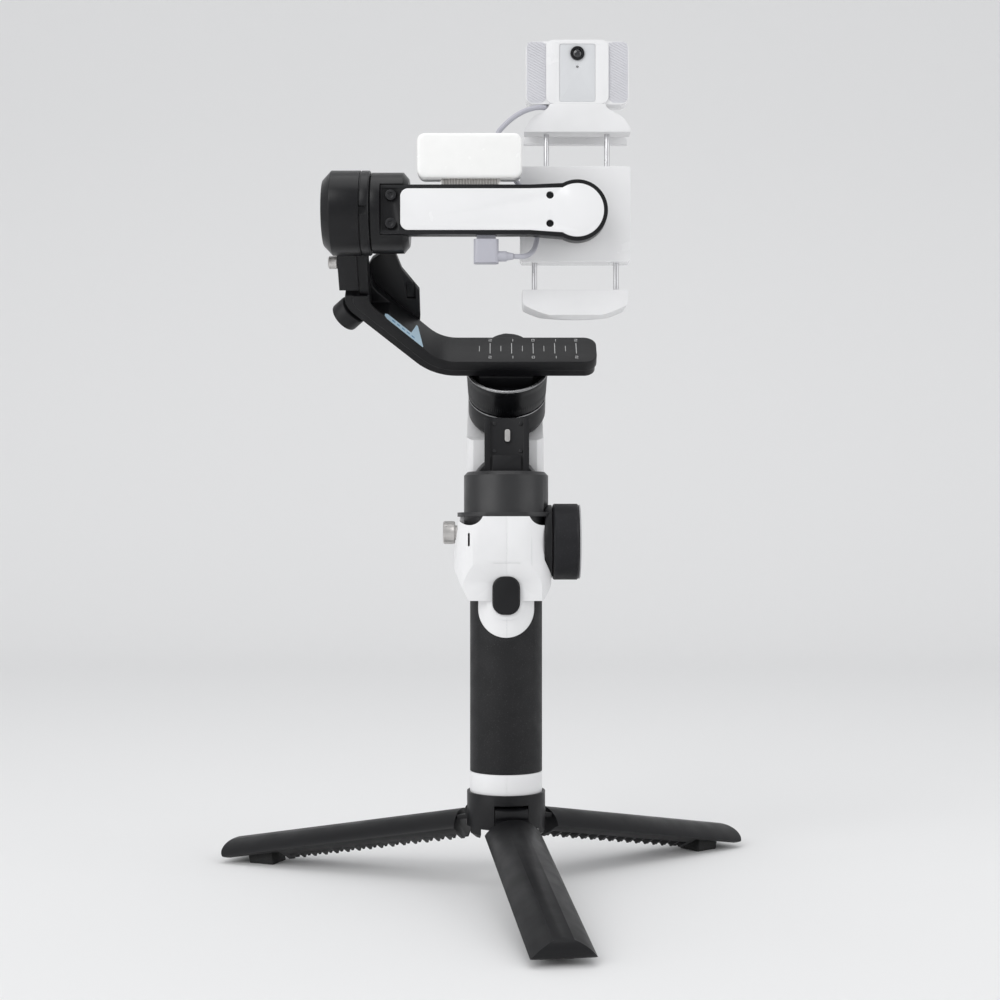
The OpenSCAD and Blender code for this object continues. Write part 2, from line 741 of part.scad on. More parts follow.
module pan_arm() color([0.1, 0.1, 0.11]) pan_frame() difference() {
    union() {
        translate([0, 0, -bar_t / 2]) linear_extrude(bar_t - band_t + 0.1) bar_plan(band_depth);
        translate([0, 0, bar_t / 2 - band_t]) linear_extrude(band_t) bar_plan(0);
        from_front(bar_n0 + band_depth, bar_n1) arm_outline(bar_t);
        from_front(bar_n0, bar_n1) arm_outline(band_t);
        translate([face_out + 0.2 - knob_s, 0, knob_s]) rotate([0, -135, 0])
            translate([0, 0, -1]) cylinder(r = 4, h = 2.7);
    }
    from_side(-22, bar_right - 6) dovetail(0);
    from_front(-6.5, 6.5) polygon([
        [arm_plate_x1 - 0.2, far], [arm_plate_x1 - 0.2, 28.8], [-63.8, 27], [-50, 27], [-50, far]
    ]);
    translate([face_out - knob_s, 0, knob_s]) rotate([0, -135, 0])
        cylinder(r = 1.55, h = 30, center = true);
}

module arm_bracket() color([0.1, 0.1, 0.11]) pan_frame() difference() {
    from_front(bar_n1, bar_n1 + 3.2) polygon([
        [-39.8, 15.2], [-39.7, 29.8], [-47.3, 41.1], [-49.6, 48.6], [-50.5, 53],
        [-54.5, 53], [-56.8, 49.3], [-60.3, 46.8], [-62.5, 43], [-66, 40], [-69, 36.5],
        [-66.5, 28.6], [-44, 6.1], [-41, 5.5]
    ]);
    box([-45.6, 0, 25.7], [-41.8, bar_n1 + 1.8, 33.7]);
}

module arm_knob() color([0.12, 0.12, 0.13]) pan_frame()
    translate([face_out - knob_s, 0, knob_s]) rotate([0, -135, 0]) {
        z_rod(7, 2, 9.2);
        z_rod(1.5, -1.5, 2.5);
    }

// ---------- tilt motor ----------

module vertical_arm() color([0.1, 0.1, 0.11]) difference() {
    pan_frame() {
        box([arm_plate_x0, bar_n0 + 0.1, 43], [arm_plate_x1, bar_n1 - 0.2, tilt_rise - 10]);
        from_front(-6.3, 6.3) polygon([
            [arm_plate_x1 - 0.1, tilt_rise - 12], [arm_plate_x1 - 0.1, 43],
            [arm_plate_x1, 43], [arm_plate_x1, 30.6], [-63.5, 28.7], [-61.3, 28.7],
            [-61.3, tilt_rise - 12]
        ]);
    }
    tilt_frame() x_rod(tilt_r, -100, 0);
    pan_frame() translate([0, latch_n, latch_s]) x_rod(1.2 + run_gap, -100, arm_plate_x0 + 4.3);
}

module tilt_stator() color([0.1, 0.1, 0.11]) tilt_frame() difference() {
    turned_x() difference() {
        polygon([
            [0, cap_x0 - 0.6], [9, cap_x0 - 0.4], [tilt_r - 4, cap_x0],
            [tilt_r, cap_x0 + 3.8], [tilt_r, cap_x1], [tilt_r - 0.9, cap_x1],
            [tilt_r - 0.9, cap_x1 + 0.6], [tilt_r, cap_x1 + 0.6],
            [tilt_r, ring_x1 - 0.6], [tilt_r - 0.6, ring_x1], [0, ring_x1]
        ]);
        polygon([
            [0, -72], [5, -72], [5, cap_x0 + 3], [tilt_r - 4.2, cap_x0 + 3],
            [tilt_r - 2, cap_x0 + 6], [tilt_r - 2, ring_x1 + 1], [0, ring_x1 + 1]
        ]);
    }
    x_rod(3 + run_gap, -75, 0);
    box([cap_x1 + 0.3, -tilt_r - 1, -3.8], [-59.4, -tilt_r + 1.9, -0.3]);
}

module tilt_winding() color("chocolate") tilt_frame() difference() {
    union() {
        x_rod(9, -71, -64.5);
        for (k = [0:11]) rotate([k * 30, 0, 0]) {
            box([-71, 8, -0.9], [-64.5, 13.4, 0.9]);
            box([-71.6, 9.4, -1.6], [-63.9, 12.4, 1.6]);
        }
    }
    x_rod(5.2, -80, 0);
    x_rod(8, -80, -71.2);
}

module tilt_lock_latch() color("silver") pan_frame()
    translate([0, latch_n, latch_s]) {
        x_rod(2.8, arm_plate_x0 - 4.3, arm_plate_x0 - 0.1);
        x_rod(1.2, arm_plate_x0 - 0.2, arm_plate_x0 + 4);
    }

module tilt_rotor() color([0.1, 0.1, 0.11]) difference() {
    tilt_frame() {
        turned_x() polygon([
            [0, rotor_x0], [tilt_rotor_r, rotor_x0], [tilt_rotor_r, rotor_x1 - 2.4],
            [tilt_rotor_r - 2.8, rotor_x1], [0, rotor_x1]
        ]);
        turned_x() translate([tilt_r - 3.5, -70]) square([1.2, 12.5]);
        x_rod(3, -74.5, rotor_x0 + 1);
    }
    box([arm_x0 - 0.2, -far * 2, arm_z - arm_h / 2 - 0.2],
        [0, arm_y1, arm_z + arm_h / 2 + 0.2]);
}

// ---------- roll arm ----------

module arm_face(inset) {
    half = arm_h / 2 - inset;
    end_half = sqrt(pow(arm_end_r - inset, 2) - 36) - 0.1;
    polygon([
        [arm_x0 + inset, arm_z - half], [roll_x - 20, arm_z - half],
        [roll_x - 6, roll_z - end_half], [roll_x - 6, roll_z + end_half],
        [roll_x - 20, arm_z + half], [arm_x0 + inset, arm_z + half]
    ]);
    translate([roll_x, roll_z]) circle(arm_end_r - inset);
}

module cover_face() {
    cover_x0 = -45.2;
    cover_h = arm_h - 3.2;
    intersection() {
        arm_face(1.6);
        union() {
            translate([(cover_x0 + roll_x + 20) / 2, arm_z])
                rounded(roll_x + 20 - cover_x0, cover_h, 3.5);
            translate([roll_x - 20, arm_z - 15]) square([44, 30]);
        }
    }
}

module roll_arm_frame() color([0.1, 0.1, 0.11]) difference() {
    from_front(arm_y0, arm_y1) arm_face(0);
    from_front(arm_y0 - 1, arm_y0 + 1.2) cover_face();
    from_front(arm_y0 - 1, arm_y0 + 0.8)
        translate([arm_screw_x - 0.05, arm_z]) square([7.2, arm_h - 3], center = true);
    for (z = [-6, 6]) translate([arm_screw_x, 0, arm_z + z]) y_rod(1.3, -far * 2, 0);
    box([-13, -55.4, arm_z - arm_h / 2 - 1], [-4.4, -52.6, arm_z - arm_h / 2 + 3.4]);
    roll_frame() y_rod(2 + run_gap, -56, 0);
}

module roll_arm_cover() color("white") difference() {
    from_front(arm_y0 - 0.3, arm_y0 + 1.2) offset_cover();
    for (z = [-6, 6]) translate([18.4, 0, arm_z + z]) y_rod(1.6, -far, 0);
}

// the cover's face, a hair smaller than its pocket
module offset_cover() intersection() {
    translate([0.1, 0]) cover_face();
    translate([-0.1, 0]) cover_face();
    translate([0, 0.1]) cover_face();
    translate([0, -0.1]) cover_face();
}

module socket_screw(head_r, y_head, y_end) difference() {
    union() {
        y_rod(head_r, y_head, y_head + 1.6);
        y_rod(1.25, y_head + 1.5, y_end);
    }
    translate([0, y_head - 1, 0]) rotate([-90, 0, 0]) cylinder(r = 1.1, h = 2, $fn = 6);
}

module arm_screws() color("dimgray")
    for (z = [-6, 6])
        translate([arm_screw_x, 0, arm_z + z]) socket_screw(2.25, arm_y0 - 0.8, arm_y1);

module roll_stator() color([0.1, 0.1, 0.11]) roll_frame() difference() {
    y_rod(roll_r, arm_y1, -45);
    y_rod(roll_r - 1.6, -50, -44);
    y_rod(2 + run_gap, -56, -40);
}

module roll_rotor() color([0.1, 0.1, 0.11]) roll_frame() {
    y_rod(roll_r, -44.6, clamp_y0);
    y_rod(roll_r - 2, -49, -44.5);
    y_rod(2, -55.5, -44);
}

module light_mount_bar() color("silver")
    from_front(-57.6, -52) translate([-15.3, 310.1]) rounded(25.4, 2.6, 0.6);

module fill_light_body() color("white")
    from_front(-53.6, -50) translate([-15.75, 320.95]) rounded(44.3, 19.1, 3.5);

module light_diffuser() color("ivory")
    from_front(-60, -53.6) translate([-15.75, 320.95]) rounded(44.7, 19.1, 3.5);

module usb_plug() color([0.75, 0.75, 0.8]) {
    translate([-8.7, -54, 0]) translate([0, 0, 276]) linear_extrude(10) rounded(10.6, 6, 2);
    box([-12.8, -55.2, 285.9], [-4.6, -52.8, 290.5]);
    translate([0, -54, 279]) {
        x_rod(2.2, -4, 0);
        translate([-0.1, 0, 0]) rotate([0, 90, 0]) cylinder(r1 = 1.9, r2 = 1.3, h = 3.1);
    }
}

module usb_cable() color([0.75, 0.75, 0.8]) swept_tube(lead_route, lead_d / 2, 8);

// ---------- phone clamp ----------

module clamp_body() color("white") difference() {
    from_front(clamp_y0, clamp_y1) translate([clamp_x, (clamp_z0 + clamp_z1) / 2])
        rounded(clamp_w, clamp_z1 - clamp_z0, 1.4);
    for (x = top_rods) translate([x, rod_y, 0]) {
        z_rod(rod_d / 2 + run_gap, 290, far * 6);
        z_rod(2.4, 283.5, spring_z1);
    }
    for (x = bottom_rods) translate([x, rod_y, 0]) z_rod(rod_d / 2 + run_gap, 0, 300);
}

module clamp_springs() color("silver")
    for (x = top_rods) translate([x, rod_y, spring_z0])
        coil(1.75, 0.3, spring_z1 - spring_z0 - 0.1, 8);

// the front outline of the upper jaw: wide at its lip, narrow where the tracker sits
jaw_halves = [                  // half width and height, from the lip upwards
    [jaw_w / 2 - 0.3, 335], [jaw_w / 2 - 0.3, 336.5], [22.9, 337.5], [21.8, 339.3], [20.3, 341.4],
    [18.2, 343.1], [15.4, 344.4], [13.8, 345.5], [12.6, 346.6], [12.1, 348]
];
module jaw_top_front() translate([jaw_x, 0]) {
    polygon([
        for (side = [1, -1], k = [0:len(jaw_halves) - 1])
            let (h = jaw_halves[side == 1 ? k : len(jaw_halves) - 1 - k]) [side * h[0], h[1]]
    ]);
}

module jaw_top() color("white") {
    rear = clamp_y1 + phone_room;
    intersection() {
        from_front(-41, -10) jaw_top_front();
        from_side(-10, 70) polygon([
            [-40, 335.7], [clamp_y1, 335.7], [clamp_y1, jaw_top_z], [rear, jaw_top_z],
            [rear, 335.2], [rear + 2.6, 335.2], [rear + 2.6, 342], [clamp_y1 + 2, 348],
            [-40, 348]
        ]);
    }
    for (x = top_rods) translate([x, rod_y, 0]) {
        z_rod(rod_d / 2, 292, 336);
        z_rod(2.2, 292, 294);
    }
}

module jaw_bottom() color("white") {
    rear = clamp_y1 + phone_room;
    intersection() {
        from_front(-41, -10) translate([jaw_x - 1, 0]) intersection() {
            translate([0, 254.5 + 14]) rounded(jaw_w - 1, 28, 9);
            translate([0, 254.5 + 46]) circle(46, $fn = 128);
        }
        from_side(-10, 70) polygon([
            [-40, 267], [clamp_y1, 267], [clamp_y1, jaw_bottom_z], [rear, jaw_bottom_z],
            [rear, 268.6], [rear + 2.6, 268.6], [rear + 2.6, 262], [rear - 2, 257],
            [-36, 254], [-40, 256]
        ]);
    }
    for (x = bottom_rods) translate([x, rod_y, 0]) z_rod(rod_d / 2, 266, 290);
}

module tracker_body() color("white") {
    difference() {
        union() {
            from_front(-39, -30) translate([tracker_x, 0]) tracker_outline(22.4, 375.4);
            from_front(-40, -38.9) translate([tracker_x, 0]) tracker_outline(13.6, 375.8);
        }
        from_front(-far, -39.6) translate([tracker_x, 361.4]) rounded(15.8, 25.4, 1);
        translate([tracker_x, 0, lens_z]) y_rod(3.05, -far, -37.5);
        translate([tracker_x, 0, 364.1]) y_rod(0.6, -far, -38);
    }
}

// the tracking module from the front, half wide at its sides
module tracker_outline(half, top) {
    middle = (348 + top) / 2;
    translate([0, middle]) rounded(2 * half, top - 348, min(3.4, half / 3));
}

module tracker_lens() color("black") translate([tracker_x, 0, lens_z]) difference() {
    y_rod(3.03, -40.4, -37.5);
    y_rod(2.2, -far, -39.9);
}

translate([0, 0, hub_z]) tripod_hub();
tripod_screw();
leg_pins();
leg_front();
leg_right();
leg_left();
foot_front();
foot_right();
foot_left();
tripod_socket();
handle_shell_left();
handle_shell_right();
grip_sleeve();
battery_cell();
main_board();
trigger();
trigger_spring();
focus_wheel_core();
focus_wheel_grip();
wheel_base_ring();
side_knob();
neck_collar();
neck_post();
neck_screws();
neck_shell();
control_panel();
joystick();
record_button();
mode_button();
pan_stator();
pan_winding();
pan_bearings();
pan_rotor();
pan_magnets();
bar_clamp();
bar_lock_knob();
pan_arm();
arm_bracket();
vertical_arm();
arm_knob();
tilt_stator();
tilt_winding();
tilt_lock_latch();
tilt_rotor();
roll_arm_frame();
roll_arm_cover();
arm_screws();
roll_stator();
roll_rotor();
light_mount_bar();
fill_light_body();
light_diffuser();
usb_plug();
usb_cable();
clamp_body();
clamp_springs();
jaw_top();
jaw_bottom();
tracker_body();
tracker_lens();
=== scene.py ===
"""A hand-held three-axis phone gimbal standing on its open mini tripod."""
import json
import math

import bmesh
import bpy
from mathutils import Matrix, Vector

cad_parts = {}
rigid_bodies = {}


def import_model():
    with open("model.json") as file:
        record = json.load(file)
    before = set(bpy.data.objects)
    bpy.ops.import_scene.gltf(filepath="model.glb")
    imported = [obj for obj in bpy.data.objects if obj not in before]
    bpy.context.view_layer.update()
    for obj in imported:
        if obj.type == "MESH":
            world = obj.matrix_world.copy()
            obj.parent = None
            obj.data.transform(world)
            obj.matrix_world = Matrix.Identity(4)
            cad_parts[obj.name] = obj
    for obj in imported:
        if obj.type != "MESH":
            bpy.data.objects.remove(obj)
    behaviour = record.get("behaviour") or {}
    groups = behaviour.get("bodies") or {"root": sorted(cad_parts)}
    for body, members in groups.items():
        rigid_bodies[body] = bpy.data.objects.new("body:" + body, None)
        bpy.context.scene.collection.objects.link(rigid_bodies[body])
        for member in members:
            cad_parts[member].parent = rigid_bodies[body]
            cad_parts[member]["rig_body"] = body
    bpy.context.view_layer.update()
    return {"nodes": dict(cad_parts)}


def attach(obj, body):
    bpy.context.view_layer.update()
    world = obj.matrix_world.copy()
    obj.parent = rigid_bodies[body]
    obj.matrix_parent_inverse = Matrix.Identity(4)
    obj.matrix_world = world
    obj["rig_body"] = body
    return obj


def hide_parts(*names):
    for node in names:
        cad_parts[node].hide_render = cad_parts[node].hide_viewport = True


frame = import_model()
MM = 0.001

# The pan motor leans forward; the arm's pieces are placed in its frame.
PAN = Matrix.Translation((0, 7 * MM, 242 * MM)) @ Matrix.Rotation(math.radians(42), 4, "X")
MOTOR = PAN @ Matrix.Translation((0.5 * MM, 0, 0))
UP = Matrix.Identity(4)
ALONG_X = Matrix.Rotation(math.radians(90), 4, "Y")
FACING = Matrix.Rotation(math.radians(90), 4, "X")      # outlines in X and Z, depth towards -Y

# places shared with the CAD part, in mm
WHEEL_PLACE = (21.3, 157)           # X of the tyre's inner face, and its axle's height
SIDE_KNOB_Z = 161.2
LATCH_PLACE = (-4, 54.8)            # across and along the pan axis
TYRE_BORE = 14.42
ROD_RADIUS = 1.17
ROD_Y = -36
LENS_X, LENS_Z = 30.9, 369.9
LEAD_DIAMETER = 2.2
BAR_TOP = 4.245                     # just above the slide bar's upper face


# ---------- camera and lights ----------

def set_camera():
    cam = bpy.data.objects.new("camera", bpy.data.cameras.new("camera"))
    cam.location = (-2.8 * MM, -0.724, 0.161)
    cam.rotation_euler = (math.radians(90), 0, 0)
    cam.data.lens = 56.55
    cam.data.shift_y = 0.033            # looks level and shows more above than below
    cam.data.clip_start = 0.01
    bpy.context.scene.collection.objects.link(cam)
    bpy.context.scene.camera = cam


def lamp(name, kind, place, aim, energy, **settings):
    light = bpy.data.objects.new(name, bpy.data.lights.new(name, kind))
    light.data.energy = energy
    for key, value in settings.items():
        setattr(light.data, key, value)
    light.location = place
    light.rotation_euler = (Vector(aim) - Vector(place)).to_track_quat("-Z", "Y").to_euler()
    bpy.context.scene.collection.objects.link(light)


def set_stage():
    """A white sweep under a bright sky, one soft key light and three large panels."""
    bpy.context.scene.view_settings.view_transform = "Standard"
    world = bpy.data.worlds.new("studio")
    bpy.context.scene.world = world
    world.use_nodes = True
    world.node_tree.nodes["Background"].inputs["Color"].default_value = (0.97, 0.98, 1.0, 1)
    world.node_tree.nodes["Background"].inputs["Strength"].default_value = 0.56
    middle = (0, 0, 0.2)
    lamp("key", "SUN", (-0.6, -0.9, 1.0), middle, 0.75, angle=math.radians(35))
    lamp("left", "AREA", (-0.9, -0.6, 0.4), middle, 2.8, size=0.8)
    lamp("right", "AREA", (0.9, -0.5, 0.5), middle, 2.2, size=0.8)
    lamp("top", "AREA", (0.0, -0.1, 1.2), middle, 2.4, size=0.8)
    bend_y, bend_r, steps = 1.2, 0.9, 24        # where the floor curves up into the backdrop
    curve = [(bend_y + bend_r * math.sin(a), bend_r - bend_r * math.cos(a))
             for a in (math.radians(90 * k / steps) for k in range(1, steps + 1))]
    profile = [(-4.0, 0.0), (bend_y, 0.0)] + curve + [(2.1, 4.0)]
    bm = bmesh.new()
    rows = [[bm.verts.new((x, y, z)) for x in (-4, 4)] for y, z in profile]
    for a, b in zip(rows, rows[1:]):
        bm.faces.new((a[0], a[1], b[1], b[0])).smooth = True
    mesh = bpy.data.meshes.new("floor")
    bm.to_mesh(mesh)
    bm.free()
    floor = bpy.data.objects.new("floor", mesh)
    bpy.context.scene.collection.objects.link(floor)
    paper = bpy.data.materials.new("paper")
    paper.use_nodes = True
    shader = paper.node_tree.nodes["Principled BSDF"]
    shader.inputs["Base Color"].default_value = (0.86, 0.86, 0.86, 1)
    shader.inputs["Roughness"].default_value = 0.9
    shader.inputs["Specular IOR Level"].default_value = 0.1
    mesh.materials.append(paper)


# ---------- materials ----------

class Shader:
    """A principled material built up from nodes, on each piece's own coordinates in metres."""

    def __init__(self, name, colour, rough, metal=0.0, coat=0.0, sheen=0.0, specular=0.5):
        self.material = bpy.data.materials.new(name)
        self.material.use_nodes = True
        self.tree = self.material.node_tree
        self.bsdf = self.tree.nodes["Principled BSDF"]
        self.place = self.tree.nodes.new("ShaderNodeTexCoord").outputs["Object"]
        self.colour = colour
        self.material.diffuse_color = (*colour, 1)
        self.bsdf.inputs["Base Color"].default_value = (*colour, 1)
        self.bsdf.inputs["Roughness"].default_value = rough
        self.bsdf.inputs["Metallic"].default_value = metal
        self.bsdf.inputs["Specular IOR Level"].default_value = specular
        self.bsdf.inputs["Coat Weight"].default_value = coat
        self.bsdf.inputs["Coat Roughness"].default_value = 0.08
        self.bsdf.inputs["Sheen Weight"].default_value = sheen
        self.normal = None

    def link(self, a, b):
        self.tree.links.new(a, b)

    def noise(self, size, detail=3.0, stretch=(1, 1, 1)):
        """Noise whose blotches are about size millimetres across."""
        scale = self.tree.nodes.new("ShaderNodeMapping")
        scale.inputs["Scale"].default_value = stretch
        self.link(self.place, scale.inputs["Vector"])
        n = self.tree.nodes.new("ShaderNodeTexNoise")
        n.inputs["Scale"].default_value = 1000 / size
        n.inputs["Detail"].default_value = detail
        self.link(scale.outputs["Vector"], n.inputs["Vector"])
        return n.outputs["Fac"]

    def ranged(self, value, low, high, span=(0.3, 0.7)):
        r = self.tree.nodes.new("ShaderNodeMapRange")
        r.inputs["From Min"].default_value, r.inputs["From Max"].default_value = span
        r.inputs["To Min"].default_value, r.inputs["To Max"].default_value = low, high
        self.link(value, r.inputs["Value"])
        return r.outputs["Result"]

    def mixed(self, factor, a, b):
        """A colour between a and b; either may be a colour or another node's output."""
        m = self.tree.nodes.new("ShaderNodeMix")
        m.data_type = "RGBA"
        self.link(factor, m.inputs["Factor"])
        for socket, value in ((m.inputs[6], a), (m.inputs[7], b)):
            if isinstance(value, tuple):
                socket.default_value = (*value, 1)
            else:
                self.link(value, socket)
        return m.outputs[2]

    def tint(self, output):
        self.link(output, self.bsdf.inputs["Base Color"])
        self.top = output

    def mottled(self, amount, size):
        """Slow changes of shade over the surface."""
        dark = tuple(c * (1 - amount) for c in self.colour)
        light = tuple(min(1.0, c * (1 + amount)) for c in self.colour)
        self.tint(self.mixed(self.ranged(self.noise(size), 0, 1), dark, light))
        return self

    def specks(self, colour, size, share):
        """Small flecks of another colour over what is there."""
        spots = self.ranged(self.noise(size, 1.0), 0, 1, (1 - share, 1.04 - share))
        self.tint(self.mixed(spots, self.top, colour))
        return self

    def worn_edges(self, colour, strength=0.5):
        """Paler corners, where the finish has rubbed."""
        geometry = self.tree.nodes.new("ShaderNodeNewGeometry")
        edges = self.ranged(geometry.outputs["Pointiness"], 0, strength, (0.53, 0.62))
        self.tint(self.mixed(edges, self.top, colour))
        return self

    def uneven(self, low, high, size):
        """Patches that shine more and less."""
        self.link(self.ranged(self.noise(size), low, high), self.bsdf.inputs["Roughness"])
        return self

    def bump(self, height, depth):
        b = self.tree.nodes.new("ShaderNodeBump")
        b.inputs["Distance"].default_value = depth * MM
        b.inputs["Strength"].default_value = 1.0
        self.link(height, b.inputs["Height"])
        if self.normal is not None:
            self.link(self.normal, b.inputs["Normal"])
        self.normal = b.outputs["Normal"]
        self.link(self.normal, self.bsdf.inputs["Normal"])
        return self

    def grain(self, size, depth, detail=2.0, stretch=(1, 1, 1)):
        return self.bump(self.noise(size, detail, stretch), depth)


def moulded(name, colour, rough, **more):
    """Moulded plastic: a fine spark-eroded grain, slight shade changes and soft handling marks."""
    s = Shader(name, colour, rough, **more).mottled(0.03, 25)
    s.uneven(rough - 0.05, rough + 0.07, 9)
    return s.grain(0.35, 0.006).grain(6, 0.012).material


def gloss(name, colour, rough, coat=0.35):
    """Polished plastic with faint orange peel and wiping marks."""
    s = Shader(name, colour, rough, coat=coat).mottled(0.02, 30)
    s.uneven(rough, rough + 0.08, 14)
    return s.grain(3, 0.008).material


def anodised(name, colour, rough, metal=0.0):
    """Bead-blasted, dark-coated metal with paler rubbed corners."""
    s = Shader(name, colour, rough, metal, specular=0.3).mottled(0.06, 12)
    s.worn_edges(tuple(min(1, c * 1.8 + 0.012) for c in colour), 0.3)
    s.uneven(rough - 0.02, rough + 0.03, 3)
    return s.grain(0.22, 0.007).material


def turned(name, colour, rough, stretch):
    """Machined metal with fine tool lines across stretch."""
    s = Shader(name, colour, rough, 1.0).mottled(0.06, 4)
    s.uneven(rough - 0.04, rough + 0.05, 2)
    return s.grain(0.3, 0.004, 1.0, stretch).material


def rubber(name, colour, rough, grain=0.5, depth=0.05):
    """Matt rubber, finely flecked, with a pebbled grain."""
    s = Shader(name, colour, rough, sheen=0.04, specular=0.3).mottled(0.15, 15)
    s.specks(tuple(c * 1.8 + 0.008 for c in colour), 0.5, 0.36)
    s.uneven(rough - 0.08, rough + 0.06, 7)
    return s.grain(grain, depth).material


def copper_wire(name):
    """Enamelled copper, its turns shown as fine ridges."""
    s = Shader(name, (0.56, 0.2, 0.07), 0.28, 1.0).mottled(0.25, 2)
    return s.grain(0.3, 0.05, 0.0, (6, 1, 1)).material


def board_mask(name):
    """Green solder mask with flecks of solder."""
    s = Shader(name, (0.01, 0.12, 0.04), 0.35).mottled(0.2, 3)
    return s.specks((0.5, 0.42, 0.15), 0.9, 0.4).grain(1.2, 0.02).material


def opal(name):
    """A translucent diffuser over lamps that are off."""
    s = Shader(name, (0.9, 0.9, 0.885), 0.22, coat=0.3).mottled(0.015, 8)
    s.bsdf.inputs["Subsurface Weight"].default_value = 0.25
    s.bsdf.inputs["Subsurface Radius"].default_value = (0.004, 0.004, 0.004)
    s.bsdf.inputs["Subsurface Scale"].default_value = 1.0
    s.uneven(0.18, 0.28, 6)
    return s.grain(0.8, 0.01).material


def lens_glass(name):
    """Dark coated glass."""
    s = Shader(name, (0.006, 0.006, 0.009), 0.04, coat=1.0).mottled(0.3, 1)
    return s.uneven(0.03, 0.09, 2).material


MATERIALS = {
    "white": moulded("white", (0.80, 0.80, 0.805), 0.42),
    "tripod": moulded("tripod", (0.0065, 0.0065, 0.0075), 0.4, specular=0.28),
    "gloss_white": gloss("gloss_white", (0.83, 0.83, 0.835), 0.2),
    "rib_white": moulded("rib_white", (0.66, 0.66, 0.69), 0.4),
    "pearl": gloss("pearl", (0.66, 0.67, 0.685), 0.3, 0.2),
    "black": moulded("black", (0.0065, 0.0065, 0.0075), 0.38, specular=0.3),
    "collar": moulded("collar", (0.018, 0.018, 0.019), 0.4, specular=0.5),
    "black_metal": anodised("black_metal", (0.006, 0.006, 0.007), 0.36),
    "rotor": anodised("rotor", (0.0055, 0.0055, 0.0065), 0.3),
    # pale metal for the motors' rims: a painted highlight where light catches their edges
    "painted_rim_highlight": turned("painted_rim_highlight", (0.34, 0.34, 0.345), 0.28, (1, 1, 8)),
    "dark_steel": anodised("dark_steel", (0.05, 0.05, 0.052), 0.3, 1.0),
    "grip": rubber("grip", (0.009, 0.009, 0.010), 0.6),
    "foot": rubber("foot", (0.02, 0.02, 0.02), 0.75),
    "tyre": rubber("tyre", (0.008, 0.008, 0.010), 0.5, 0.3, 0.01),
    "steel": turned("steel", (0.62, 0.62, 0.63), 0.3, (1, 1, 12)),
    "silver": turned("silver", (0.60, 0.585, 0.57), 0.34, (8, 1, 1)),
    "copper": copper_wire("copper"),
    "board": board_mask("board"),
    "cell": gloss("cell", (0.03, 0.12, 0.3), 0.3),
    "grey": moulded("grey", (0.42, 0.42, 0.43), 0.4),
    "red": gloss("red", (0.5, 0.015, 0.015), 0.25),
    "lead": moulded("lead", (0.46, 0.46, 0.51), 0.42),
    "opal": opal("opal"),
    "lens": lens_glass("lens"),
    "display": lens_glass("display"),
    "print": moulded("print", (0.5, 0.5, 0.5), 0.5),
    "sticker": gloss("sticker", (0.45, 0.62, 0.74), 0.35, 0.1),
    "sticker_ink": gloss("sticker_ink", (0.10, 0.28, 0.46), 0.35, 0.1),
    "lamp": gloss("lamp", (0.25, 0.5, 0.3), 0.2),
}

# node: (material, edge radius in mm)
SOFTENED = {
    "tripod_hub": ("tripod", 0.5), "leg_front": ("tripod", 0.5), "leg_right": ("tripod", 0.5),
    "leg_left": ("tripod", 0.5), "foot_front": ("foot", 0.6), "foot_right": ("foot", 0.6),
    "foot_left": ("foot", 0.6),
    "handle_shell_left": ("white", 0.35), "handle_shell_right": ("white", 0.35),
    "grip_sleeve": ("grip", 0.4), "trigger": ("black", 0.8), "focus_wheel_core": ("grey", 0.3),
    "wheel_base_ring": ("black", 0.5),
    "neck_collar": ("collar", 0.4), "neck_post": ("black_metal", 0.5),
    "neck_screws": ("dark_steel", 0.15), "neck_shell": ("white", 0.8),
    "control_panel": ("black", 0.6), "joystick": ("tyre", 0.2), "record_button": ("red", 0.5),
    "mode_button": ("grey", 0.5),
    "pan_stator": ("black_metal", 0.4), "bar_clamp": ("black", 0.4),
    "bar_lock_knob": ("black", 0.6), "pan_arm": ("black_metal", 0.7),
    "arm_bracket": ("black", 0.5), "vertical_arm": ("black_metal", 0.6), "arm_knob": ("black", 0.8),
    "tilt_stator": ("rotor", 0.3), "tilt_rotor": ("rotor", 0.4),
    "roll_arm_frame": ("black_metal", 0.3), "roll_arm_cover": ("gloss_white", 0.3),
    "arm_screws": ("dark_steel", 0.2), "roll_stator": ("black_metal", 0.4),
    "roll_rotor": ("black_metal", 0.4),
    "fill_light_body": ("white", 1.0), "light_diffuser": ("opal", 1.6), "usb_plug": ("lead", 0.6),
    "clamp_body": ("gloss_white", 0.6), "jaw_top": ("white", 0.7), "jaw_bottom": ("white", 1.2),
    "tracker_body": ("gloss_white", 1.0), "tracker_lens": ("lens", 0.3),
}
# nodes that stay as the CAD made them: hidden parts, pins and springs
INSIDE = {
    "tripod_screw": "steel", "leg_pins": "dark_steel", "tripod_socket": "steel",
    "battery_cell": "cell", "main_board": "board", "trigger_spring": "steel",
    "pan_winding": "copper", "pan_bearings": "steel", "pan_magnets": "steel",
    "tilt_winding": "copper", "clamp_springs": "steel",
}
BODIES = {n: o["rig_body"] for n, o in frame["nodes"].items()}


# ---------- meshes ----------

